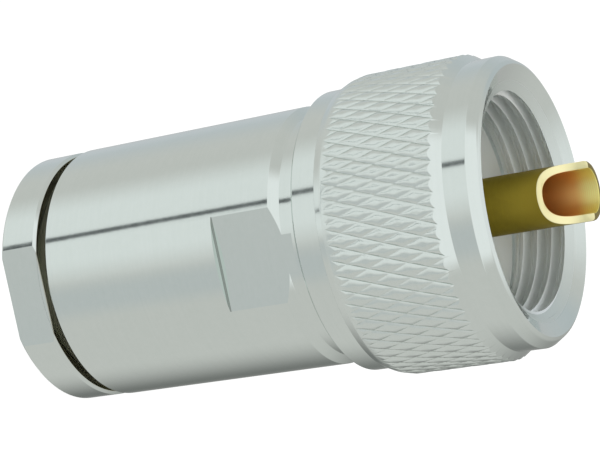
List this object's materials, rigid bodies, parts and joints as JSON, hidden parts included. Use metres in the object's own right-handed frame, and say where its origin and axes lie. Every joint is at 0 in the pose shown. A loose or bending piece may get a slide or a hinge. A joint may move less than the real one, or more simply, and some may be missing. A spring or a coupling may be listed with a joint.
{
  "type": "uhf connector",
  "caption": "Coaxial UHF plug: knurled coupling nut, turned body with spanner flats, cable clamp nut and hollow gold centre pin.",
  "frame": {"origin": "centre of the clamp nut's rear face, on which the plug stands", "axes": "+Z along the plug's axis towards the tip of the centre contact, -Y and +Y out of the spanner flats"},
  "size_m": [0.0208, 0.0208, 0.0411],
  "materials": {
    "satin_nickel": "satin nickel plate over turned brass",
    "knurled_nickel": "satin nickel plate over knurled brass",
    "inner_nickel": "plain nickel plate over brass",
    "gold_plate": "gold plate over turned brass",
    "spring_bronze": "hard drawn bronze",
    "ptfe": "turned white plastic",
    "gasket_rubber": "moulded black rubber"
  },
  "bodies": {
    "clamp_nut": {"clamp_nut": "satin_nickel"},
    "clamp_stack": {"thrust_washer": "inner_nickel", "gasket": "gasket_rubber", "braid_clamp": "inner_nickel"},
    "plug_body": {"plug_body": "satin_nickel", "rear_insulator": "ptfe", "front_insulator": "ptfe", "centre_contact": "gold_plate", "retaining_ring": "spring_bronze"},
    "coupling_nut": {"coupling_nut": "knurled_nickel"}
  },
  "joints": [
    {"name": "clamp_turn", "type": "hinge", "parent": "clamp_nut", "child": "clamp_stack", "pos_m": [0, 0, 0.01118], "axis": [0, 0, 1], "range_deg": [-200, 2165]},
    {"name": "clamp_travel", "type": "slide", "parent": "clamp_stack", "child": "plug_body", "axis": [0, 0, 1], "range_m": [-0.00055, 0.006]},
    {"name": "coupling_turn", "type": "hinge", "parent": "plug_body", "child": "coupling_nut", "pos_m": [0, 0, 0.0264], "axis": [0, 0, 1], "continuous": true}
  ],
  "couplings": [
    {"joint": "clamp_turn", "follows": "clamp_travel", "rad_per_m": 6283.2}
  ]
}
